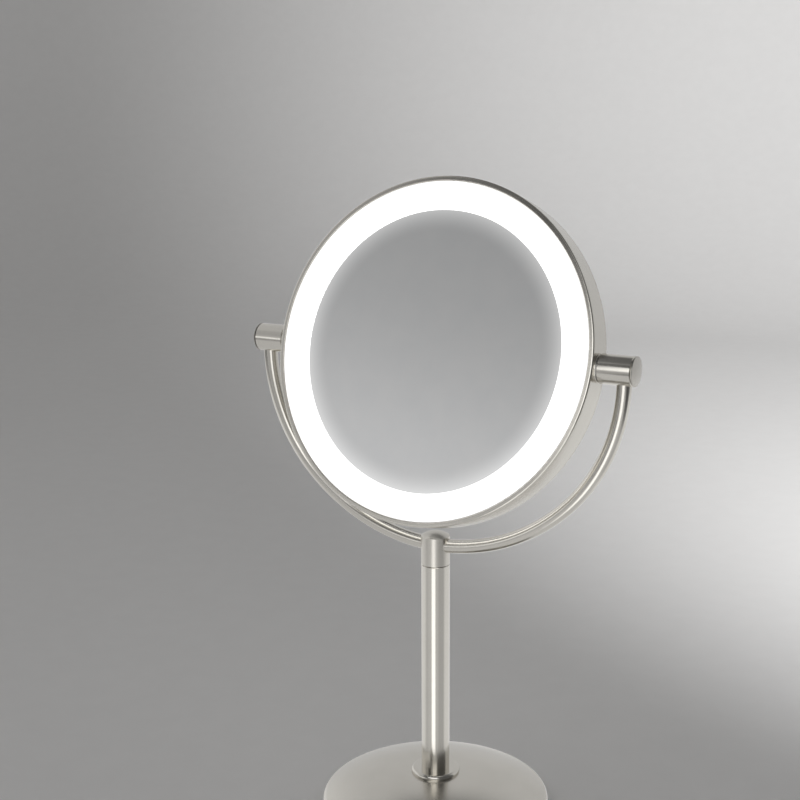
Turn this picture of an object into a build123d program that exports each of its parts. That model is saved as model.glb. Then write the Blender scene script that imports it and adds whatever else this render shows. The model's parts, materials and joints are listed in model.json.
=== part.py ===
"""Lighted table mirror: a two-sided round mirror head that turns in a tubular yoke on a round base.

Millimetres, +Z up. The origin is the centre of the base's underside, on the surface it stands on.
The flat mirror faces -Y and the head rests leaning back. Its hinge runs along X at pivot_height.
"""
from build123d import *
import math
import os

# ---- driving dimensions ----
head_radius = 108.0
head_depth = 21.5
head_lean = 16.0
pivot_height = 310.0

bezel_lip = 1.6
bezel_edge = 1.1
bezel_reach = 3.1
bezel_skirt = 3.4
band_wall = 1.2
diffuser_inner = 87.4
glass_radius = 90.0
glass_thickness = 3.0
glass_recess = 2.3
magnifier_radius = 610.0
led_count = 36
led_circle = 96.8
ledge_front = 3.7
ledge_back = 2.4
ledge_inner = 84.0
channel_gap = 0.4
channel_wall = 1.6
rim_wall_outer = 102.2
rim_wall_inner = 100.9
channel_floor = 1.9
housing_joint = 0.85
window_depth = 1.7
window_width = 2.05
boss_radius = 2.6
screw_circle = 87.2
screw_count = 6
screw_shank = 1.2
screw_head_radius = 2.4
screw_head = 0.8
front_pad_outer = 89.0
front_pad_inner = 74.0
rear_pad_outer = 89.5
rear_pad_inner = 84.6
rear_pad = 0.85
tape_gap = 0.02
board_outer = 100.8
board_inner = 92.1
board_half = 0.8
lamp_top = 1.55
lamp_depth = 1.4
lamp_width = 1.75
terminal_width = 1.7
terminal_reach = 3.4

knuckle_radius = 9.0
knuckle_end = 130.2
knuckle_tip = 132.0
cap_crown = 45.0
cap_seam = 0.35
collar_radius = 8.8
collar_face = 109.0
washer_radius = 8.0
washer_thickness = 0.5
stud_radius = 3.0
stud_start = 102.8
stud_end = 119.4
contact_radius = 2.2
contact_end = 121.0
sleeve_radius = 4.4
sleeve_start = 105.5
sleeve_flange = 5.5
nut_width = 10.0
bush_radius = 4.6
bush_flange = 7.5
bush_rim = 0.9
cup_radius = 3.6
cup_start = 119.6
cup_end = 128.2
running_gap = 0.05
plunger_radius = 1.2
plunger_flange = 2.4
spring_radius = 1.75
spring_length = 4.3

yoke_tube_radius = 4.5
yoke_bore = 3.3
yoke_half_width = 123.9
yoke_side_radius = 113.0
yoke_tube_top = -4.6

column_radius = 9.25
column_bore = 8.05
hub_above = 9.0
hub_below = 13.0
hub_dome = 3.0
spigot_length = 14.0
lead_way = 3.2
nipple_radius = 4.8
insert_top = 42.0
flange_radius = 16.0
flange_height = 3.0

base_radius = 75.0
base_skirt_top = 12.0
base_height = 28.0
base_flat = 12.0
sheet_wall = 1.5
foot_height = 2.2
foot_outer = 72.0
foot_inner = 66.2
plate_top = 4.0
well_radius = 55.4
well_wall = 1.4
well_top = 7.2
tray_half_length = 26.7
tray_rows = (9.9, 40.5)
tray_top = 19.1
tray_wall = 1.2
base_screw_circle = 62.0
ballast_outer = 68.0
ballast_inner = 56.0
ballast_top = 11.5

door_radius = 50.0
door_gap = 0.4
lug_reach = 3.4
lug_arc = 20.0
door_twist = 30.0
lug_under = 4.2
lug_top = 5.5

cell_radius = 7.15
cell_length = 49.2
cell_rows = (17.8, 32.6)
cell_height = 11.65
cell_step = 0.65
plate_face = 26.25
plate_half = 5.5

button_place = 54.0
button_radius = 6.5
button_gap = 0.1
button_travel = 1.5
button_top = 2.6
button_dish = 28.0
guide_radius = 8.35
guide_rim = 9.8
guide_top = 1.4
switch_floor = 8.5

wire_radius = 0.8
wire_offset = 1.2
wire_way_radius = 1.2
wire_bend = 3.0
wire_start = -2.75
wire_level = 21.2
wire_reach = 41.4
wire_last_bend = 1.8
wire_drop = 2.4

# ---- derived places ----
half_depth = head_depth / 2
band_end = half_depth - bezel_lip - 0.1
glass_front = half_depth - glass_recess
knuckle_start = collar_face + washer_thickness + 2 * running_gap
yoke_bottom_radius = yoke_side_radius + (yoke_half_width - yoke_side_radius) * math.sqrt(2)
yoke_leg = yoke_half_width - yoke_side_radius - (yoke_bottom_radius - yoke_side_radius) * (
    1 - math.sqrt(0.5))
yoke_bottom = pivot_height - yoke_half_width
hub_base = yoke_bottom - hub_below
dome_radius = ((base_radius - base_flat) ** 2 + (base_height - base_skirt_top) ** 2) / (
    2 * (base_height - base_skirt_top))
button_slope = math.asin((button_place - base_flat) / dome_radius)
button_level = base_height - dome_radius * (1 - math.cos(button_slope))
button_normal = (0, -math.sin(button_slope), math.cos(button_slope))

X_AXIS = Vector(1, 0, 0)
Y_AXIS = Vector(0, 1, 0)
Z_AXIS = Vector(0, 0, 1)
MIN_END = (Align.CENTER, Align.CENTER, Align.MIN)

nodes = {}


# ---- helpers ----
def rod(radius, start, end, axis):
    """A round bar along an axis through the origin."""
    return Plane(origin=axis * start, z_dir=axis) * Cylinder(radius, end - start, align=MIN_END)


def pipe(outer, inner, start, end, axis):
    """A ring or tube along an axis through the origin."""
    return rod(outer, start, end, axis) - rod(inner, start - 1, end + 1, axis)


def block(low, high):
    """A box from its lowest corner to its highest."""
    size = [high[i] - low[i] for i in range(3)]
    middle = [(high[i] + low[i]) / 2 for i in range(3)]
    return Pos(*middle) * Box(*size)


def hexagon(across_flats, start, end, axis):
    """A six-sided bar along an axis through the origin."""
    outline = RegularPolygon(across_flats / 2, 6, major_radius=False)
    return extrude(Plane(origin=axis * start, z_dir=axis) * outline, end - start)


def coil(radius, wire, length, turns):
    """A helical spring standing on the XY plane."""
    path = Helix(pitch=(length - 2 * wire) / turns, height=length - 2 * wire, radius=radius)
    section = Plane(origin=path @ 0, z_dir=path % 0) * Circle(wire)
    return Pos(0, 0, wire) * sweep(section, path=path, is_frenet=True)


def edges_at(shape, radius, along, axis):
    """The circular edges of one radius at one place along an axis."""
    picked = []
    for edge in shape.edges().filter_by(GeomType.CIRCLE):
        if abs(edge.radius - radius) < 0.01 and abs(edge.arc_center.dot(axis) - along) < 0.01:
            picked.append(edge)
    return picked


def spin(outline):
    """A ring about the Y axis from an outline of (radius, y) points."""
    return revolve(make_face(Polyline(*outline, close=True)), Axis.Y)


def around(shape, count, axis, first=0.0):
    """Equally spaced copies of a shape about an axis through the origin."""
    copies = [shape.rotate(axis, first + 360 / count * k) for k in range(count)]
    return Compound([solid for copy in copies for solid in copy.solids()])


def on_head(shape):
    """Move a shape from the head's own frame, with its centre at the origin, to the lean it rests at."""
    return Pos(0, 0, pivot_height) * Rot(X=-head_lean) * shape


def at_pivot(shape):
    """Move a shape from the pivot's frame to its height."""
    return Pos(0, 0, pivot_height) * shape


def on_side(shape, side):
    """Shapes are made on the right; the left one is the mirror image."""
    return mirror(shape, about=Plane.YZ) if side == "left" else shape


def rear(shape):
    """The rear face of the head is the front one turned about the X axis."""
    return shape.rotate(Axis.X, 180)


def keep(name, shape):
    """Keep a finished sub-part under its name."""
    nodes[name] = shape


# ---- the mirror head, in its own frame ----
def make_band():
    """The drum's plain wall, with a hole each side for the pivot."""
    band = pipe(head_radius, head_radius - band_wall, -band_end, band_end, Y_AXIS)
    band = band - rod(stud_radius + 1.5, -head_radius - 5, head_radius + 5, X_AXIS)
    keep("drum_band", on_head(band))


def make_bezel():
    """An L-section ring: a thin polished lip outside and a skirt pressed into the drum."""
    lip_inner = head_radius - bezel_reach
    skirt_outer = head_radius - band_wall - 0.05
    lip_back = -half_depth + bezel_lip
    bezel = spin([
        (lip_inner, -half_depth),
        (head_radius, -half_depth),
        (head_radius, lip_back),
        (skirt_outer, lip_back),
        (skirt_outer, lip_back + bezel_skirt),
        (skirt_outer - 1.0, lip_back + bezel_skirt),
        (skirt_outer - 1.0, lip_back),
        (lip_inner, lip_back),
    ])
    bezel = fillet(edges_at(bezel, head_radius, -half_depth, Y_AXIS), bezel_edge)
    bezel = fillet(edges_at(bezel, lip_inner, -half_depth, Y_AXIS), 0.4)
    keep("front_bezel", on_head(bezel))
    keep("rear_bezel", on_head(rear(bezel)))


def make_diffuser():
    """A flat opal ring between the glass and the bezel, with eased edges."""
    outer = head_radius - bezel_reach - 0.05
    front = -half_depth + 0.4
    ring = pipe(outer, diffuser_inner, front, -glass_front - 0.05, Y_AXIS)
    ring = fillet(edges_at(ring, diffuser_inner, front, Y_AXIS), 1.0)
    ring = fillet(edges_at(ring, outer, front, Y_AXIS), 0.5)
    keep("front_diffuser", on_head(ring))
    keep("rear_diffuser", on_head(rear(ring)))


def make_glasses():
    """A flat glass in front, and a hollow-ground magnifying glass behind."""
    flat = rod(glass_radius, -glass_front, -glass_front + glass_thickness, Y_AXIS)
    keep("front_mirror", on_head(flat))
    sag = magnifier_radius - math.sqrt(magnifier_radius ** 2 - glass_radius ** 2)
    hollow_centre = glass_front - sag + magnifier_radius
    blank = rod(glass_radius, -glass_thickness, glass_front, Y_AXIS)
    shell = Pos(0, hollow_centre, 0) * Sphere(magnifier_radius + glass_thickness)
    scoop = Pos(0, hollow_centre, 0) * Sphere(magnifier_radius)
    keep("rear_mirror", on_head((blank & shell) - scoop))


def make_light_housings():
    """White channel rings that carry the lamps, the glasses and the diffusers."""
    top = -glass_front + 0.1
    joint = -housing_joint
    wall_in = glass_radius + channel_gap
    wall_out = wall_in + channel_wall
    channel = pipe(wall_out, wall_in, top, joint, Y_AXIS)
    channel += pipe(rim_wall_outer, rim_wall_inner, top, joint, Y_AXIS)
    channel += pipe(wall_out, ledge_inner, -ledge_front, -ledge_back, Y_AXIS)
    channel += pipe(rim_wall_inner + 0.1, wall_out - 0.1, -channel_floor, joint, Y_AXIS)
    window = block((led_circle - window_depth, -channel_floor - 0.6, -window_width),
                   (led_circle + window_depth, 0.0, window_width))
    channel -= around(window, led_count, Axis.Y, 180 / led_count)
    slot_half = terminal_width + 0.9
    terminal_slots = block((rim_wall_inner - 1.9, -terminal_width, -slot_half),
                           (rim_wall_outer + 1.8, terminal_width, slot_half))
    channel -= terminal_slots
    channel -= mirror(terminal_slots, about=Plane.YZ)
    backing = rod(ledge_inner, -ledge_front, -ledge_back, Y_AXIS)
    boss_place = Pos(screw_circle, 0, 0)
    boss = boss_place * rod(boss_radius, -ledge_back, ledge_back - 0.1, Y_AXIS)
    bosses = around(boss, screw_count, Axis.Y, 180 / screw_count)
    shank = rod(screw_shank, -ledge_back + 0.5, ledge_front, Y_AXIS)
    head = rod(screw_head_radius, ledge_front, ledge_front + screw_head, Y_AXIS)
    screw = boss_place * (shank + head)
    screws = around(screw, screw_count, Axis.Y, 180 / screw_count)
    front = channel + backing + bosses - screws
    back = rear(channel) - screws
    keep("front_light_housing", on_head(front))
    keep("rear_light_housing", on_head(back))
    keep("housing_screws", on_head(screws))


def make_glass_pads():
    """Foam tape rings that bed each glass."""
    tape_back = -glass_front + glass_thickness + tape_gap
    tape_front = -ledge_front - tape_gap
    tape = pipe(front_pad_outer, front_pad_inner, tape_back, tape_front, Y_AXIS)
    keep("front_glass_pad", on_head(tape))
    ring = pipe(rear_pad_outer, rear_pad_inner, ledge_front + tape_gap, ledge_front + rear_pad, Y_AXIS)
    hole = Pos(screw_circle, 0, 0) * rod(screw_head_radius + 0.6, ledge_front, glass_front, Y_AXIS)
    holes = around(hole, screw_count, Axis.Y, 180 / screw_count)
    keep("rear_glass_pad", on_head(ring - holes))


def make_lamps():
    """One ring board with a circle of lamps on each face."""
    board = pipe(board_outer, board_inner, -board_half, board_half, Y_AXIS)
    keep("led_board", on_head(board))
    lamp = block((led_circle - lamp_depth, -lamp_top, -lamp_width),
                 (led_circle + lamp_depth, -board_half, lamp_width))
    lamps = around(lamp, led_count, Axis.Y, 180 / led_count)
    keep("front_leds", on_head(lamps))
    keep("rear_leds", on_head(rear(lamps)))


def make_pivot(side):
    """The stud that carries the head, with what insulates, clamps and trims it."""
    drum = rod(head_radius + 0.02, -half_depth, half_depth, Y_AXIS)
    stud = rod(stud_radius, stud_start, stud_end, X_AXIS)
    stud += rod(contact_radius, stud_end, contact_end, X_AXIS)
    sleeve = pipe(sleeve_radius, stud_radius, sleeve_start, collar_face - running_gap, X_AXIS)
    sleeve += pipe(sleeve_flange, stud_radius, sleeve_start, sleeve_start + 1.0, X_AXIS)
    collar = pipe(collar_radius, sleeve_radius, sleeve_start, collar_face, X_AXIS) - drum
    collar = fillet(edges_at(collar, collar_radius, collar_face, X_AXIS), 0.4)
    washer = pipe(washer_radius, stud_radius + running_gap, collar_face + running_gap,
                  knuckle_start - running_gap, X_AXIS)
    nut = hexagon(nut_width, stud_start + 0.3, sleeve_start - running_gap, X_AXIS)
    nut -= rod(stud_radius, stud_start - 1, sleeve_start + 1, X_AXIS)
    tab_half = nut_width / 2
    tab = block((stud_start - 0.5, -tab_half + 0.5, -tab_half), (stud_start, tab_half - 0.5, tab_half))
    tongue = block((stud_start - terminal_reach, -board_half - 0.5, -2.0),
                   (stud_start - 0.4, -board_half - 0.05, 2.0))
    pieces = {
        "pivot_stud": stud,
        "stud_sleeve": sleeve,
        "pivot_collar": collar,
        "friction_washer": washer,
        "stud_nut": nut,
        "stud_terminal": tab + tongue,
    }
    return {name: on_head(on_side(shape, side)) for name, shape in pieces.items()}


def make_pivots():
    """Both pivots; the nuts, washers, sleeves and terminals share a node each."""
    left = make_pivot("left")
    right = make_pivot("right")
    for name in ("pivot_stud", "pivot_collar"):
        keep(f"left_{name}", left[name])
        keep(f"right_{name}", right[name])
    for name in ("stud_sleeve", "friction_washer", "stud_nut", "stud_terminal"):
        keep(f"{name}s", Compound(left[name].solids() + right[name].solids()))


# ---- the yoke, in the pivot's frame ----
def yoke_line(top, last_turn):
    """The left arm's centreline, from the knuckle down to a place near the bottom."""
    start = Line((-yoke_half_width, top), (-yoke_half_width, -yoke_leg))
    shoulder = JernArc(start @ 1, start % 1, yoke_side_radius, 45)
    sweep_down = JernArc(shoulder @ 1, shoulder % 1, yoke_bottom_radius, last_turn)
    return [start, shoulder, sweep_down]


def yoke_solid(radius):
    """A round bar along the whole yoke."""
    arm = yoke_line(yoke_tube_top, 90)
    shoulder = JernArc(arm[2] @ 1, arm[2] % 1, yoke_side_radius, 45)
    end = Line(shoulder @ 1, (yoke_half_width, yoke_tube_top))
    path = Plane.XZ * Wire(arm + [shoulder, end])
    section = Plane(origin=path @ 0, z_dir=path % 0) * Circle(radius)
    return sweep(section, path=path)


def make_yoke():
    """The bent tube, with a wire hole over the column."""
    tube = yoke_solid(yoke_tube_radius) - yoke_solid(yoke_bore)
    wire_hole = rod(2.6, -yoke_half_width - 6, -yoke_half_width, Z_AXIS)
    keep("yoke_tube", at_pivot(tube - wire_hole))


def make_knuckle(side):
    """The barrel at the yoke's end, its cap, its bush and the sprung contact inside it."""
    barrel = rod(knuckle_radius, knuckle_start, knuckle_end, X_AXIS)
    barrel = chamfer(edges_at(barrel, knuckle_radius, knuckle_start, X_AXIS), 0.4)
    barrel = chamfer(edges_at(barrel, knuckle_radius, knuckle_end, X_AXIS), 0.5)
    barrel -= rod(bush_flange, knuckle_start - 1, knuckle_start + bush_rim, X_AXIS)
    barrel -= rod(bush_radius, knuckle_start, stud_end + 0.1, X_AXIS)
    barrel -= rod(cup_radius, stud_end - 0.4, knuckle_end + 1, X_AXIS)
    wire_way = Pos(yoke_half_width, 0, 0) * rod(wire_way_radius, -6, -1, Z_AXIS)
    barrel = barrel - yoke_solid(yoke_tube_radius) - wire_way
    crown_edge = knuckle_tip - cap_crown + math.sqrt(cap_crown ** 2 - knuckle_radius ** 2)
    cap = rod(knuckle_radius, knuckle_end + cap_seam, knuckle_tip + 1, X_AXIS)
    cap = cap & (Pos(knuckle_tip - cap_crown, 0, 0) * Sphere(cap_crown))
    cap = fillet(edges_at(cap, knuckle_radius, crown_edge, X_AXIS), 0.5)
    cap += rod(cup_radius, knuckle_end - 0.6, knuckle_end + cap_seam + 0.1, X_AXIS)
    bush = rod(bush_flange, knuckle_start, knuckle_start + bush_rim, X_AXIS)
    bush += rod(bush_radius, knuckle_start, stud_end, X_AXIS)
    bush -= rod(stud_radius + running_gap, knuckle_start - 1, stud_end + 1, X_AXIS)
    cup = rod(cup_radius, cup_start, cup_end, X_AXIS)
    cup -= rod(cup_radius - 1.0, cup_start - 1, cup_end - 1.0, X_AXIS)
    cup -= wire_way
    flange_back = contact_end + 1.8
    plunger = rod(plunger_radius, contact_end + 0.15, flange_back + 0.2, X_AXIS)
    plunger += rod(plunger_flange, flange_back - 0.8, flange_back, X_AXIS)
    seat = Plane(origin=(flange_back + running_gap, 0, 0), z_dir=X_AXIS)
    spring = seat * coil(spring_radius, 0.2, spring_length, 5)
    pieces = {
        "knuckle": barrel,
        "end_cap": cap,
        "pivot_bush": bush,
        "contact_cup": cup,
        "contact_plunger": plunger,
        "contact_spring": spring,
    }
    for name, shape in pieces.items():
        keep(f"{side}_{name}", at_pivot(on_side(shape, side)))


def make_wire(side):
    """One insulated lead, from the knuckle round the yoke and down the column to the switch board."""
    stop_angle = math.degrees(math.asin((wire_offset + wire_bend) / yoke_bottom_radius))
    arm = yoke_line(wire_start, 45 - stop_angle)
    into_column = JernArc(arm[2] @ 1, arm[2] % 1, wire_bend, stop_angle - 90)
    upper = Plane.XZ * Wire(arm + [into_column])
    upper = Pos(0, 0, pivot_height) * upper
    low = upper @ 1
    column_run = Line(low, (low.X, 0, wire_level + wire_bend))
    floor_plane = Plane(origin=(low.X, 0, 0), x_dir=(0, -1, 0), z_dir=(-1, 0, 0))
    turn_out = JernArc((0, wire_level + wire_bend), (0, -1), wire_bend, 90)
    across = Line(turn_out @ 1, (wire_reach, wire_level))
    turn_down = JernArc(across @ 1, across % 1, wire_last_bend, -90)
    drop = Line(turn_down @ 1, turn_down @ 1 + Vector(0, -wire_drop))
    lower = floor_plane * Wire([turn_out, across, turn_down, drop])
    path = Wire(upper.edges() + [column_run] + lower.edges())
    section = Plane(origin=path @ 0, z_dir=path % 0) * Circle(wire_radius)
    lead = sweep(section, path=path)
    if side == "right":
        lead = mirror(lead, about=Plane.YZ)
    keep(f"{side}_lead", lead)


# ---- the hub and column ----
def make_hub():
    """The domed tee that joins the yoke to the column."""
    shoulder = yoke_bottom + hub_above - hub_dome
    crown = (column_radius ** 2 + hub_dome ** 2) / (2 * hub_dome)
    hub = rod(column_radius, hub_base + 0.1, shoulder + hub_dome, Z_AXIS)
    hub &= Pos(0, 0, shoulder + hub_dome - crown) * Sphere(crown) + rod(20, 0, shoulder, Z_AXIS)
    hub = chamfer(edges_at(hub, column_radius, hub_base + 0.1, Z_AXIS), 0.35)
    hub += rod(column_bore - 0.05, hub_base - spigot_length, hub_base + 0.2, Z_AXIS)
    hub -= at_pivot(yoke_solid(yoke_tube_radius))
    hub -= rod(lead_way, hub_base - spigot_length - 1, yoke_bottom - 2, Z_AXIS)
    keep("column_hub", hub)


def make_column():
    """The plain column, its threaded insert and the hollow screw, washer and nut that clamp it."""
    column = pipe(column_radius, column_bore, base_height, hub_base, Z_AXIS)
    column = chamfer(edges_at(column, column_radius, hub_base, Z_AXIS), 0.35)
    keep("column_tube", column)
    under = base_height - sheet_wall
    washer_under = under - 1.3
    nut_under = washer_under - 3.0
    keep("column_insert", pipe(column_bore - 0.05, nipple_radius, base_height, insert_top, Z_AXIS))
    keep("column_nipple", pipe(nipple_radius, lead_way + 0.1, nut_under, insert_top - 2, Z_AXIS))
    keep("column_washer", pipe(10.0, nipple_radius, washer_under, under, Z_AXIS))
    nut = hexagon(14.0, nut_under, washer_under, Z_AXIS) - rod(nipple_radius, 0, 60, Z_AXIS)
    keep("column_nut", nut)
    flange_top = base_height + flange_height
    flange = pipe(flange_radius, column_radius, base_height, flange_top, Z_AXIS)
    keep("column_flange", fillet(edges_at(flange, flange_radius, flange_top, Z_AXIS), 2.2))


# ---- the base ----
def button_frame(shape):
    """Place a shape square to the domed cover, where the button goes."""
    return Plane(origin=(0, -button_place, button_level), x_dir=(1, 0, 0), z_dir=button_normal) * shape


def dome(inset):
    """The solid under the base's domed outline, or one sheet wall inside it."""
    rim = base_radius - inset
    crown = dome_radius - inset
    centre = base_height - dome_radius
    shoulder = centre + math.sqrt(crown ** 2 - (rim - base_flat) ** 2)
    top = base_height - inset
    low = 1.2 if inset == 0 else 0.0
    middle = (base_flat + crown * math.sin(0.3), centre + crown * math.cos(0.3))
    outline = [
        Line((0, low), (rim, low)),
        Line((rim, low), (rim, shoulder)),
        ThreePointArc((rim, shoulder), middle, (base_flat, top)),
        Line((base_flat, top), (0, top)),
        Line((0, top), (0, low)),
    ]
    return revolve(Plane.XZ * make_face(Wire(outline)), Axis.Z)


def make_cover():
    """The spun cover of the base."""
    cover = dome(0)
    cover = fillet(edges_at(cover, base_radius, base_skirt_top, Z_AXIS), 4.0)
    cover = cover - dome(sheet_wall)
    cover -= rod(nipple_radius + 0.1, 20, 40, Z_AXIS)
    cover -= button_frame(rod(guide_radius + 0.05, -12, 5, Z_AXIS))
    keep("base_cover", cover)


def make_button():
    """The push button, its guide ring, return spring, switch and board."""
    guide = rod(guide_radius, -switch_floor, 0.4, Z_AXIS) + rod(guide_rim, 0.25, guide_top, Z_AXIS)
    guide = fillet(edges_at(guide, guide_rim, guide_top, Z_AXIS), 0.6)
    guide -= rod(button_radius + button_gap, -12, 5, Z_AXIS)
    rim_under = button_frame(pipe(guide_rim + 2.2, guide_radius + 0.01, -3, 0.6, Z_AXIS)) & dome(0)
    guide = button_frame(guide) - rim_under
    keep("button_guide", guide)
    cap = rod(button_radius, -2.5, button_top, Z_AXIS)
    cap = fillet(edges_at(cap, button_radius, button_top, Z_AXIS), 0.7)
    dish = Pos(0, 0, button_top + button_dish - 0.45) * Sphere(button_dish)
    keep("power_button", button_frame(cap - dish))
    keep("switch_plunger", button_frame(rod(1.7, -6.6, -2.5, Z_AXIS)))
    body = block((-3, -3, -switch_floor), (3, 3, -5.0)) - rod(1.8, 0.1 - switch_floor, -4, Z_AXIS)
    keep("tact_switch", button_frame(body))
    board_under = -switch_floor - 1.6
    board = rod(guide_radius - 0.05, board_under, -switch_floor - 0.02, Z_AXIS)
    chip = block((-2.5, 3.6, board_under - 1.2), (2.5, 6.4, board_under))
    keep("switch_board", button_frame(board + chip))
    spring = coil(5.0, 0.3, button_travel + 4.45, 4)
    keep("button_spring", button_frame(Pos(0, 0, -switch_floor) * spring))


def make_chassis():
    """The black plate that closes the base, with trays for the cells."""
    plate_outer = base_radius - sheet_wall - 0.3
    chassis = pipe(plate_outer, door_radius + door_gap, foot_height, plate_top, Z_AXIS)
    chassis += pipe(well_radius, well_radius - well_wall, plate_top, well_top, Z_AXIS)
    chassis += rod(well_radius, well_top - well_wall, well_top, Z_AXIS)
    trays = [sorted((sign * tray_rows[0], sign * tray_rows[1])) for sign in (-1, 1)]
    for near, far in trays:
        low = (-tray_half_length - 1.3, near - tray_wall, well_top - well_wall)
        chassis += block(low, (tray_half_length + 1.3, far + tray_wall, tray_top + tray_wall))
    for near, far in trays:
        chassis -= block((-tray_half_length, near, 3.0), (tray_half_length, far, tray_top))
    notch_end = door_radius + lug_reach + door_gap
    notch = block((0, -11.5, foot_height - 1), (notch_end, 11.5, plate_top + 0.5))
    notch -= rod(door_radius - 5, 0, 10, Z_AXIS)
    chassis -= around(notch, 3, Axis.Z, door_twist)
    screw_place = Pos(base_screw_circle, 0, 0)
    screw = screw_place * (rod(2.6, 2.9, plate_top + 0.1, Z_AXIS) + rod(1.5, plate_top, 10.0, Z_AXIS))
    screws = around(screw, 4, Axis.Z, 45)
    clear = screw_place * rod(3.0, foot_height - 0.2, plate_top + 0.1, Z_AXIS)
    chassis -= around(clear, 4, Axis.Z, 45)
    keep("base_chassis", chassis)
    keep("base_screws", screws)
    ballast = pipe(ballast_outer, ballast_inner, plate_top + 0.1, ballast_top, Z_AXIS) - screws
    ballast -= button_frame(rod(11.5, -14, 0, Z_AXIS))
    keep("ballast_ring", ballast)
    foot = pipe(foot_outer, foot_inner, 0, foot_height, Z_AXIS)
    corners = edges_at(foot, foot_outer, 0, Z_AXIS) + edges_at(foot, foot_inner, 0, Z_AXIS)
    keep("foot_ring", fillet(corners, 0.6))


def make_cells():
    """Four cells, alternating, with a sprung or plain contact at each end."""
    half_length = cell_length / 2
    cell = rod(cell_radius, -half_length - cell_step, half_length - cell_step, X_AXIS)
    cell += rod(2.7, half_length - cell_step, half_length + cell_step, X_AXIS)
    plate = block((plate_face, -plate_half, -plate_half), (plate_face + 0.4, plate_half, plate_half))
    button = rod(3.0, half_length + cell_step + running_gap, plate_face, X_AXIS)
    tail = rod(4.0, half_length + cell_step + running_gap, plate_face, X_AXIS)
    cells = []
    contacts = []
    for row, distance in enumerate(sorted(s * d for s in (-1, 1) for d in cell_rows)):
        turn = 180 if row % 2 else 0
        place = Pos(0, distance, cell_height) * Rot(Z=turn)
        cells += (place * cell).solids()
        contacts += (place * (plate + button)).solids()
        contacts += (place * mirror(plate + tail, about=Plane.YZ)).solids()
    keep("battery_cells", Compound(cells))
    keep("battery_contacts", Compound(contacts))


def make_door():
    """The round battery door, held by three lugs and opened by a turn with a coin."""
    door = rod(door_radius, foot_height + 0.2, plate_top, Z_AXIS)
    door += pipe(door_radius, door_radius - 2.0, plate_top, lug_top, Z_AXIS)
    lugs = pipe(door_radius + lug_reach, door_radius - 1.0, lug_under, lug_top, Z_AXIS)
    half = math.radians(lug_arc / 2)
    reach = 80
    corner = (reach * math.cos(half), reach * math.sin(half))
    wedge = extrude(make_face(Polyline((0, 0), corner, (corner[0], -corner[1]), close=True)), 10)
    door += around(lugs & wedge, 3, Axis.Z)
    coin_slot = block((-11, -1.3, 0), (11, 1.3, foot_height + 1.1))
    keep("battery_door", door - coin_slot)


def make_all():
    make_band()
    make_bezel()
    make_diffuser()
    make_glasses()
    make_light_housings()
    make_glass_pads()
    make_lamps()
    make_pivots()
    for side in ("left", "right"):
        make_knuckle(side)
        make_wire(side)
    make_yoke()
    make_hub()
    make_column()
    make_cover()
    make_button()
    make_chassis()
    make_cells()
    make_door()


make_all()
os.makedirs("parts", exist_ok=True)
for name, shape in nodes.items():
    export_step(shape, f"parts/{name}.step")
print(len(nodes), "sub-parts written")
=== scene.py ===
"""Looks for the lighted table mirror: materials, studio and the photograph's viewing angle.

Metres, in the CAD model's own frame: +Z up, the flat mirror facing -Y, the hinge along X.
"""
import json
import math
import bpy
from mathutils import Matrix, Vector


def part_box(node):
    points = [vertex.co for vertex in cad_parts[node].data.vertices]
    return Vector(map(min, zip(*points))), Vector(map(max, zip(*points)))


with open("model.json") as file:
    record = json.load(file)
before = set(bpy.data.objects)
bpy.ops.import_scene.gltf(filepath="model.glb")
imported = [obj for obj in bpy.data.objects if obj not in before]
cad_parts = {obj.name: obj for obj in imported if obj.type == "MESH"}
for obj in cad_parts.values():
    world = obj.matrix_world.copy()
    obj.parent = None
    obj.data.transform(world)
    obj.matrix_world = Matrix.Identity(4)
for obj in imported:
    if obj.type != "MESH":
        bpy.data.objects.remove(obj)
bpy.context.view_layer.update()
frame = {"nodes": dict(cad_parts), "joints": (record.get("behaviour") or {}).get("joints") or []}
nodes = frame["nodes"]

# ---- places read from the frame ----
pivot_joint = next(j for j in frame["joints"] if j["name"] == "head_turn")
pivot = Vector(pivot_joint["pos_m"])
head_radius = (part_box("drum_band")[1].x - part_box("drum_band")[0].x) / 2
head_lean = math.radians(16.0)

# ---- the glowing ring: its inner edge, where the glass starts to show, its outer edge, how far in
# from there painted shade darkens it, the share of the glow that the painted shade leaves at the
# very edge, and the least and most glow ----
glass_edge = 0.0874
diffuser_edge = 0.1049
diffuser_shaded_rim = 0.0008
shaded_rim_share = 0.12
ring_glow = (1.08, 1.14)

# ---- the painted light that the ring spills on to the glass: how far in, how bright and how it fades ----
spill_reach = 0.0135
spill_glow = 0.23
spill_fade = 1.7

# ---- camera: degrees, then head radii from the pivot, then pixels in a frame of frame_pixels, and
# the sensor's width in millimetres ----
camera_azimuth = math.radians(28.59)
camera_pitch = math.radians(14.10)
camera_distance = 7.602 * head_radius
camera_rise = 1.337 * head_radius
frame_pixels = 800.0
focal_pixels = 1347.4
shift_right = 35.5
shift_down = 50.0
sensor_width = 36.0

# ---- brushed nickel: its two tones; how finely its lines vary across them and into the metal, per
# metre, and along them, per radian; how finely it clouds; and the lines' share of the tone ----
nickel_dark = (0.585, 0.563, 0.515)
nickel_pale = (0.665, 0.642, 0.595)
lines_across = 9000.0
lines_deep = 2500.0
lines_along = 3.0
nickel_clouds = 35.0
line_share = 0.6


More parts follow.
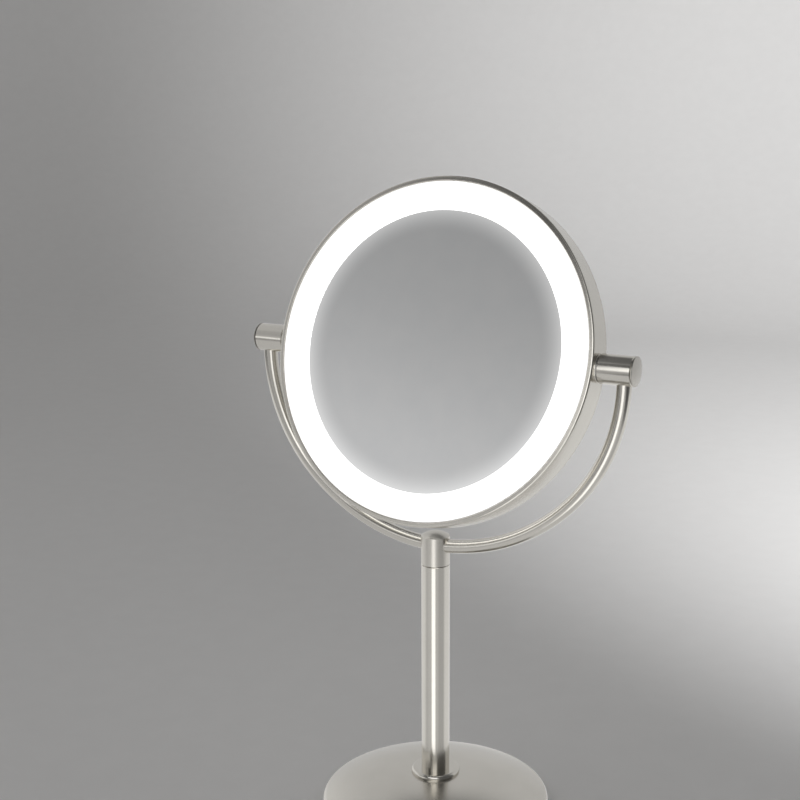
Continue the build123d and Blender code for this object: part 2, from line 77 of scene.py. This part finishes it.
def make_camera():
    """The photograph's viewing angle: right of the face and above the hinge, looking slightly down."""
    data = bpy.data.cameras.new("camera")
    data.sensor_width = sensor_width
    data.lens = focal_pixels / frame_pixels * sensor_width
    data.shift_x = -shift_right / frame_pixels
    data.shift_y = shift_down / frame_pixels
    data.clip_start = 0.01
    camera = bpy.data.objects.new("camera", data)
    out = Vector((math.sin(camera_azimuth), -math.cos(camera_azimuth), 0))
    camera.location = pivot + out * camera_distance + Vector((0, 0, camera_rise))
    camera.rotation_euler = (math.pi / 2 - camera_pitch, 0, camera_azimuth)
    bpy.context.scene.collection.objects.link(camera)
    bpy.context.scene.camera = camera
    bpy.context.scene.view_settings.view_transform = "Standard"


# ---- shader helpers ----
def plug(tree, value, socket):
    """Set a socket to a number, or link another node's output to it."""
    if isinstance(value, (int, float)):
        socket.default_value = value
    else:
        tree.links.new(value, socket)


def calculate(tree, operation, *values):
    """One sum on numbers or on other nodes' outputs."""
    node = tree.nodes.new("ShaderNodeMath")
    node.operation = operation
    for slot, value in enumerate(values):
        plug(tree, value, node.inputs[slot])
    return node.outputs[0]


class Shader:
    """One node material with a Principled surface."""

    def __init__(self, name):
        self.material = bpy.data.materials.new(name)
        self.material.use_nodes = True
        self.tree = self.material.node_tree
        self.surface = self.tree.nodes["Principled BSDF"]

    def add(self, kind, **settings):
        node = self.tree.nodes.new(kind)
        for key, value in settings.items():
            setattr(node, key, value)
        return node

    def link(self, source, target):
        self.tree.links.new(source, target)

    def drive(self, source, socket):
        """Let an output set one of the surface's sockets."""
        self.link(source, self.surface.inputs[socket])

    def fix(self, **values):
        """Set sockets of the surface that are the same all over."""
        for key, value in values.items():
            self.surface.inputs[key.replace("_", " ")].default_value = value

    def place(self):
        """The row frame's coordinates, which stay with the piece when it moves."""
        return self.add("ShaderNodeTexCoord").outputs["Object"]

    def math(self, operation, *values):
        return calculate(self.tree, operation, *values)

    def noise(self, vector, scale, detail=3.0, roughness=0.5):
        node = self.add("ShaderNodeTexNoise")
        node.inputs["Scale"].default_value = scale
        node.inputs["Detail"].default_value = detail
        node.inputs["Roughness"].default_value = roughness
        self.link(vector, node.inputs["Vector"])
        return node.outputs["Fac"]

    def ramp(self, factor, first, second):
        """Two colours, each a (position, colour) pair, and what lies between them."""
        node = self.add("ShaderNodeValToRGB")
        for element, (position, colour) in zip(node.color_ramp.elements, (first, second)):
            element.position = position
            element.color = (*colour, 1.0)
        self.link(factor, node.inputs["Fac"])
        return node.outputs["Color"]

    def spread(self, factor, low, high):
        """Map 0..1 to low..high."""
        node = self.add("ShaderNodeMapRange")
        node.inputs["To Min"].default_value = low
        node.inputs["To Max"].default_value = high
        self.link(factor, node.inputs["Value"])
        return node.outputs["Result"]

    def bump(self, height, strength, distance):
        node = self.add("ShaderNodeBump")
        node.inputs["Strength"].default_value = strength
        node.inputs["Distance"].default_value = distance
        self.link(height, node.inputs["Height"])
        self.drive(node.outputs["Normal"], "Normal")

    def use(self, *names):
        """Give the material to CAD nodes."""
        for name in names:
            mesh = nodes[name].data
            mesh.materials.clear()
            mesh.materials.append(self.material)


def turned(shader, axis, centre, lean):
    """Coordinates of a turned part: (distance along its axis, angle about it, radius)."""
    mapping = shader.add("ShaderNodeMapping")
    turn = Matrix.Rotation(lean, 3, "X")
    mapping.inputs["Rotation"].default_value = (lean, 0, 0)
    mapping.inputs["Location"].default_value = -(turn @ Vector(centre))
    shader.link(shader.place(), mapping.inputs["Vector"])
    split = shader.add("ShaderNodeSeparateXYZ")
    shader.link(mapping.outputs["Vector"], split.inputs["Vector"])
    order = {"X": ("X", "Y", "Z"), "Y": ("Y", "Z", "X"), "Z": ("Z", "X", "Y")}[axis]
    along, first, second = (split.outputs[name] for name in order)
    angle = shader.math("ARCTAN2", second, first)
    squares = shader.math("ADD", shader.math("MULTIPLY", first, first),
                          shader.math("MULTIPLY", second, second))
    return along, angle, shader.math("SQRT", squares)


def brushed_nickel(name, axis, centre, lean, roughness, across="along", shade=1.0):
    """Satin nickel with fine brush lines that run round the axis of a turned part. A shade under 1 is
    painted shade: a darker copy of the same nickel.
    """
    shader = Shader(name)
    along, angle, radius = turned(shader, axis, centre, lean)
    line = along if across == "along" else radius
    depth = radius if across == "along" else along
    combine = shader.add("ShaderNodeCombineXYZ")
    shader.link(shader.math("MULTIPLY", line, lines_across), combine.inputs["X"])
    shader.link(shader.math("MULTIPLY", angle, lines_along), combine.inputs["Y"])
    shader.link(shader.math("MULTIPLY", depth, lines_deep), combine.inputs["Z"])
    lines = shader.noise(combine.outputs["Vector"], scale=1.0, detail=4.0, roughness=0.65)
    clouds = shader.noise(shader.place(), nickel_clouds)
    tone = shader.math("ADD", shader.math("MULTIPLY", lines, line_share),
                       shader.math("MULTIPLY", clouds, 1 - line_share))
    # Painted shade: a shade under 1 darkens both tones of the nickel.
    dark = [c * shade for c in nickel_dark]
    pale = [c * shade for c in nickel_pale]
    shader.drive(shader.ramp(tone, (0.30, dark), (0.70, pale)), "Base Color")
    shader.drive(shader.spread(tone, roughness - 0.05, roughness + 0.07), "Roughness")
    shader.fix(Metallic=1.0)
    shader.bump(lines, strength=0.05, distance=0.00001)
    return shader


def plastic(name, colour, roughness, grain=900.0, depth=0.00003, shade=0.06):
    """Moulded plastic with a fine spark-eroded grain."""
    shader = Shader(name)
    grains = shader.noise(shader.place(), grain, detail=2.0)
    darker = [c * (1 - shade) for c in colour]
    shader.drive(shader.ramp(grains, (0.35, darker), (0.65, colour)), "Base Color")
    shader.drive(shader.spread(grains, roughness - 0.05, roughness + 0.05), "Roughness")
    shader.bump(grains, strength=0.25, distance=depth)
    return shader


def metal(name, colour, roughness, scale=400.0):
    """Plain plated or turned metal with slight clouding."""
    shader = Shader(name)
    clouds = shader.noise(shader.place(), scale, detail=4.0)
    darker = [c * 0.85 for c in colour]
    shader.drive(shader.ramp(clouds, (0.3, darker), (0.7, colour)), "Base Color")
    shader.drive(shader.spread(clouds, roughness - 0.06, roughness + 0.1), "Roughness")
    shader.fix(Metallic=1.0)
    shader.bump(clouds, strength=0.1, distance=0.00002)
    return shader


# ---- materials on the CAD nodes ----
def dress_nickel():
    """Every nickel part, with its brush lines round its own axis."""
    stand = (0, 0, 0)
    button_place = (0, -0.054, 0.021)
    drum = brushed_nickel("nickel_drum", "Y", pivot, head_lean, 0.24)
    drum.use("drum_band")
    bezel = brushed_nickel("nickel_bezel", "Y", pivot, head_lean, 0.16)
    bezel.use("front_bezel", "rear_bezel")
    barrel = brushed_nickel("nickel_barrel", "X", pivot, 0.0, 0.17)
    barrel.use("left_knuckle", "right_knuckle", "left_pivot_collar", "right_pivot_collar")
    # The end caps are the same nickel with painted shade, 0.8 as bright as the rest.
    cap = brushed_nickel("nickel_cap", "X", pivot, 0.0, 0.26, across="radius", shade=0.8)
    cap.use("left_end_cap", "right_end_cap")
    yoke = brushed_nickel("nickel_yoke", "Y", pivot, 0.0, 0.17, across="radius")
    yoke.use("yoke_tube")
    column = brushed_nickel("nickel_column", "Z", stand, 0.0, 0.15)
    column.use("column_tube", "column_flange")
    hub = brushed_nickel("nickel_hub", "Z", stand, 0.0, 0.28)
    hub.use("column_hub")
    cover = brushed_nickel("nickel_base", "Z", stand, 0.0, 0.24, across="radius")
    cover.use("base_cover")
    button = brushed_nickel("nickel_button", "Y", button_place, 0.0, 0.2)
    button.use("power_button", "button_guide")


def radial_distance(shader):
    """Distance from the head's own axis."""
    return turned(shader, "Y", pivot, head_lean)[2]


def spill_light(shader):
    """Painted light from the ring that spills on to the rim of a glass and fades towards its middle."""
    # Painted light: the glass itself glows at its rim.
    rim = shader.add("ShaderNodeMapRange")
    rim.inputs["From Min"].default_value = glass_edge - spill_reach
    rim.inputs["From Max"].default_value = glass_edge
    shader.link(radial_distance(shader), rim.inputs["Value"])
    fade = shader.math("POWER", rim.outputs["Result"], spill_fade)
    shader.drive(shader.math("MULTIPLY", fade, spill_glow), "Emission Strength")
    shader.fix(Emission_Color=(1.0, 1.0, 0.99, 1.0))


def dress_glass():
    """Silvered glass, exactly smooth, with painted light at its rim from the ring."""
    for name in ("front_mirror", "rear_mirror"):
        shader = Shader("silvered_" + name)
        haze = shader.noise(shader.place(), scale=60.0)
        tint = shader.ramp(haze, (0.3, (0.90, 0.905, 0.91)), (0.7, (0.93, 0.93, 0.93)))
        shader.drive(tint, "Base Color")
        shader.fix(Metallic=1.0, Roughness=0.0)
        spill_light(shader)
        shader.use(name)


def dress_light():
    """The opal ring glows evenly, with painted shade at its rounded outer edge where the bezel's shadow
    falls; the lamps are behind it.
    """
    shader = Shader("opal_glow")
    # Painted shade: the glow is dimmed over the outermost rim, as if the bezel shaded it.
    rim = shader.add("ShaderNodeMapRange", interpolation_type="SMOOTHSTEP")
    rim.inputs["From Min"].default_value = diffuser_edge
    rim.inputs["From Max"].default_value = diffuser_edge - diffuser_shaded_rim
    rim.inputs["To Min"].default_value = shaded_rim_share
    shader.link(radial_distance(shader), rim.inputs["Value"])
    haze = shader.noise(shader.place(), scale=220.0, detail=2.0)
    even = shader.spread(haze, *ring_glow)
    shader.drive(shader.math("MULTIPLY", even, rim.outputs["Result"]), "Emission Strength")
    shader.fix(Emission_Color=(1.0, 0.995, 0.98, 1.0), Base_Color=(0.95, 0.95, 0.94, 1.0),
               Roughness=0.35)
    shader.use("front_diffuser", "rear_diffuser")
    plastic("lamp_face", (0.95, 0.88, 0.5), 0.4, grain=2000.0).use("front_leds", "rear_leds")


def dress_hidden():
    """What sits inside the head, the barrels and the base."""
    plastic("white_moulding", (0.85, 0.85, 0.83), 0.42).use(
        "front_light_housing", "rear_light_housing")
    plastic("foam_tape", (0.82, 0.82, 0.79), 0.9, grain=1600.0, depth=0.0001).use(
        "front_glass_pad", "rear_glass_pad")
    plastic("white_board", (0.80, 0.83, 0.80), 0.3).use("led_board", "switch_board")
    plastic("nylon", (0.84, 0.83, 0.77), 0.45).use(
        "stud_sleeves", "left_pivot_bush", "right_pivot_bush", "left_contact_cup",
        "right_contact_cup", "switch_plunger")
    plastic("red_lead", (0.55, 0.04, 0.03), 0.4).use("left_lead")
    plastic("dark_lead", (0.03, 0.03, 0.03), 0.4).use("right_lead")
    plastic("black_moulding", (0.022, 0.022, 0.023), 0.48, grain=1400.0, depth=0.00006, shade=0.3).use(
        "base_chassis", "battery_door", "tact_switch")
    plastic("cell_sleeve", (0.05, 0.055, 0.065), 0.3, grain=500.0).use("battery_cells")
    plastic("black_rubber", (0.018, 0.018, 0.018), 0.8, grain=1200.0, depth=0.00008, shade=0.3).use(
        "foot_ring")
    metal("turned_brass", (0.78, 0.58, 0.27), 0.25).use(
        "left_pivot_stud", "right_pivot_stud", "stud_terminals", "left_contact_plunger",
        "right_contact_plunger", "stud_nuts")
    metal("bright_spring", (0.62, 0.62, 0.62), 0.25).use(
        "left_contact_spring", "right_contact_spring", "friction_washers", "button_spring",
        "battery_contacts")
    metal("zinc_plate", (0.60, 0.61, 0.64), 0.35).use(
        "housing_screws", "base_screws", "column_nipple", "column_washer", "column_nut",
        "column_insert")
    metal("cast_weight", (0.12, 0.12, 0.13), 0.6, scale=250.0).use("ballast_ring")


# ---- studio ----
# The room behind the panels: its brightness all round, which is all that the metal sees of it. The
# silvered glasses see it paler low down and darker high up, and each change is spread between two
# elevations, in degrees.
room_light = 0.45
room_low = 0.66
room_high = 0.30
low_change = (-50, 5)
high_change = (30, 85)

# Each panel that the metal sees: what its sweep is measured by ("turn" from the front towards +X,
# "rear" the same either way round, or "side", the angle towards -X), that sweep, its elevations, the
# softness of both pairs of edges, all in degrees, and its brightness. Later panels cover earlier ones.
metal_panels = [
    ("rear", (-1, 181), (-91, -14), 6, 6, 0.68),        # the floor
    ("rear", (-1, 181), (52, 91), 6, 16, 0.15),         # the dark ceiling
    ("rear", (105, 181), (-13, 45), 10, 10, 0.64),      # behind, level
    ("rear", (105, 181), (-60, -13), 14, 14, 0.88),     # behind, low
    ("side", (28, 91), (-91, 91), 10, 10, 0.62),        # left, wide
    ("side", (52, 91), (-60, 60), 20, 20, 0.90),        # left, its bright middle
    ("turn", (44, 118), (-15, 56), 8, 8, 0.14),         # right, dark
    ("turn", (52, 98), (-50, -15), 10, 10, 0.54),       # right, low
    ("turn", (-100, -34), (-14, -3), 6, 6, 0.20),       # left, a dark strip under the horizon
    ("turn", (-60, -16), (8, 18), 8, 10, 0.56),         # front left, over the horizon
    ("turn", (-60, -33), (18, 50), 2, 16, 0.50),        # front left, high
    ("turn", (-33, -8), (18, 54), 2, 6, 0.11),          # front, high and dark
    ("turn", (-60, -21), (-2, 7), 4, 4, 1.30),          # front left, a strip light on the horizon
    ("turn", (-2, 27), (-50, -14), 6, 6, 1.80),         # front, a low light
]

# The panels that the silvered glasses see, in the same terms.
glass_panels = [
    ("turn", (-60, -16), (8, 18), 8, 10, 0.56),
    ("turn", (-60, -16), (18, 50), 8, 16, 0.32),
]

# Cards that stand close to the mirror and show in the metal but not in the glasses: two opposite
# corners, the softness of the edges as a share of the width and height, and the brightness.
studio_cards = {
    "key_card": ((-0.12, -0.50, 0.325), (0.42, -0.50, 0.64), 0.06, 1.80),
    "low_card": ((0.02, -0.50, 0.14), (0.42, -0.50, 0.335), 0.10, 1.60),
    "dark_card": ((-0.11, -0.49, 0.04), (0.035, -0.49, 0.215), 0.20, 0.10),
    "side_flag": ((0.50, -0.34, 0.02), (0.50, 0.14, 0.45), 0.15, 0.10),
}


def make_backdrop():
    """A pale floor that curves up into a pale wall all round."""
    floor_radius = 2.0
    bend = 1.2
    bend_steps = 12
    height = 3.0
    sides = 96
    profile = [(floor_radius, 0.0)]
    for step in range(1, bend_steps + 1):
        angle = math.radians(90 * step / bend_steps)
        profile.append((floor_radius + bend * math.sin(angle), bend * (1 - math.cos(angle))))
    profile.append((floor_radius + bend, height))
    verts = [(0.0, 0.0, 0.0)]
    faces = []
    for ring, (radius, level) in enumerate(profile):
        new = 1 + ring * sides
        old = new - sides
        for side in range(sides):
            angle = 2 * math.pi * side / sides
            verts.append((radius * math.cos(angle), radius * math.sin(angle), level))
            after = (side + 1) % sides
            if ring == 0:
                faces.append((0, new + side, new + after))
            else:
                faces.append((old + side, new + side, new + after, old + after))
    mesh = bpy.data.meshes.new("backdrop")
    mesh.from_pydata(verts, [], faces)
    mesh.shade_smooth()
    backdrop = bpy.data.objects.new("backdrop", mesh)
    bpy.context.scene.collection.objects.link(backdrop)
    backdrop.visible_glossy = False
    backdrop.visible_shadow = False
    paper = plastic("pale_paper", (0.74, 0.735, 0.73), 0.9, grain=40.0, depth=0.0001, shade=0.015)
    mesh.materials.append(paper.material)


def dress_card(name, wide, soft, level):
    """A glow that fades out at the card's edges, and that the silvered glasses don't see."""
    shader = Shader(name)
    split = shader.add("ShaderNodeSeparateXYZ")
    shader.link(shader.add("ShaderNodeTexCoord").outputs["Generated"], split.inputs["Vector"])
    path = shader.add("ShaderNodeLightPath")
    share = shader.math("SUBTRACT", 1.0, path.outputs["Is Singular Ray"])
    for socket in (split.outputs[wide], split.outputs["Z"]):
        inside = shader.math("MINIMUM", socket, shader.math("SUBTRACT", 1.0, socket))
        edge = shader.add("ShaderNodeMapRange", interpolation_type="SMOOTHSTEP")
        edge.inputs["From Max"].default_value = 2 * soft
        shader.link(inside, edge.inputs["Value"])
        share = shader.math("MULTIPLY", share, edge.outputs["Result"])
    glow = shader.add("ShaderNodeEmission")
    glow.inputs["Strength"].default_value = level
    clear = shader.add("ShaderNodeBsdfTransparent")
    mix = shader.add("ShaderNodeMixShader")
    shader.link(share, mix.inputs["Fac"])
    shader.link(clear.outputs["BSDF"], mix.inputs[1])
    shader.link(glow.outputs["Emission"], mix.inputs[2])
    shader.link(mix.outputs["Shader"], shader.tree.nodes["Material Output"].inputs["Surface"])
    return shader.material


def make_cards():
    """Soft-edged light and dark cards, seen in the metal and not by the camera."""
    for name, (low, high, soft, level) in studio_cards.items():
        wide = 1 if low[0] == high[0] else 0
        corners = [list(low), list(low), list(high), list(high)]
        corners[1][wide] = high[wide]
        corners[3][wide] = low[wide]
        mesh = bpy.data.meshes.new(name)
        mesh.from_pydata(corners, [], [(0, 1, 2, 3)])
        card = bpy.data.objects.new(name, mesh)
        bpy.context.scene.collection.objects.link(card)
        card.visible_camera = False
        card.visible_diffuse = False
        card.visible_shadow = False
        mesh.materials.append(dress_card(name, wide, soft, level))


def make_world():
    """The studio round the mirror. Only the glasses give singular rays, so they see their own panels."""
    world = bpy.data.worlds.new("studio")
    bpy.context.scene.world = world
    world.use_nodes = True
    tree = world.node_tree

    def rise(value, start, end):
        node = tree.nodes.new("ShaderNodeMapRange")
        node.interpolation_type = "SMOOTHSTEP"
        plug(tree, value, node.inputs["Value"])
        node.inputs["From Min"].default_value = start
        node.inputs["From Max"].default_value = end
        return node.outputs["Result"]

    def window(value, low, high, soft):
        entered = rise(value, low - soft / 2, low + soft / 2)
        left = rise(value, high - soft / 2, high + soft / 2)
        return calculate(tree, "SUBTRACT", entered, left)

    def blend(share, first, second):
        mix = tree.nodes.new("ShaderNodeMix")
        plug(tree, share, mix.inputs["Factor"])
        plug(tree, first, mix.inputs["A"])
        plug(tree, second, mix.inputs["B"])
        return mix.outputs["Result"]

    coord = tree.nodes.new("ShaderNodeTexCoord")
    split = tree.nodes.new("ShaderNodeSeparateXYZ")
    tree.links.new(coord.outputs["Generated"], split.inputs["Vector"])
    x, y, z = split.outputs
    to_degrees = 180 / math.pi
    ahead = calculate(tree, "MULTIPLY", y, -1.0)
    azimuth = calculate(tree, "MULTIPLY", calculate(tree, "ARCTAN2", x, ahead), to_degrees)
    elevation = calculate(tree, "MULTIPLY", calculate(tree, "ARCSINE", z), to_degrees)
    sweeps = {
        "turn": azimuth,
        "rear": calculate(tree, "ABSOLUTE", azimuth),
        "side": calculate(tree, "MULTIPLY", calculate(tree, "ARCSINE", x), -to_degrees),
    }

    def hang(light, panels):
        for source, turn, lift, soft_turn, soft_lift, level in panels:
            around_part = window(sweeps[source], *turn, soft_turn)
            height_part = window(elevation, *lift, soft_lift)
            light = blend(calculate(tree, "MULTIPLY", around_part, height_part), light, level)
        return light

    room = blend(rise(elevation, *low_change), room_low, room_light)
    room = blend(rise(elevation, *high_change), room, room_high)
    path = tree.nodes.new("ShaderNodeLightPath")
    light = blend(path.outputs["Is Singular Ray"], hang(room_light, metal_panels),
                  hang(room, glass_panels))
    tree.links.new(light, tree.nodes["Background"].inputs["Color"])


def add_light(name, kind, place, power, **settings):
    """A light that reaches the floor and the plastics but shows in no reflection."""
    data = bpy.data.lights.new(name, kind)
    data.energy = power
    for key, value in settings.items():
        setattr(data, key, value)
    light = bpy.data.objects.new(name, data)
    light.location = place
    light.visible_glossy = False
    bpy.context.scene.collection.objects.link(light)
    return light


def make_lights():
    """A softbox overhead, and a wide soft spot that brightens the right of the floor and wall."""
    box_place = Vector((-0.4, -0.6, 1.7))
    box_aim = Vector((0.0, 0.0, 0.1))
    box_side = 1.4
    box_power = 3.0
    overhead = add_light("overhead", "AREA", box_place, box_power, shape="RECTANGLE",
                         size=box_side, size_y=box_side)
    overhead.rotation_euler = (box_aim - box_place).to_track_quat("-Z", "Y").to_euler()
    spot_place = Vector((0.79, -0.81, 0.97))
    spot_bearing = math.radians(7.2)
    spot_dip = math.radians(7.6)
    spot_cone = math.radians(80.0)
    spot_power = 400.0
    wash = add_light("wash", "SPOT", spot_place, spot_power, spot_size=spot_cone, spot_blend=1.0,
                     use_shadow=False)
    wash.rotation_euler = (math.pi / 2 - spot_dip, 0, spot_bearing)


make_camera()
dress_nickel()
dress_glass()
dress_light()
dress_hidden()
make_backdrop()
make_cards()
make_world()
make_lights()
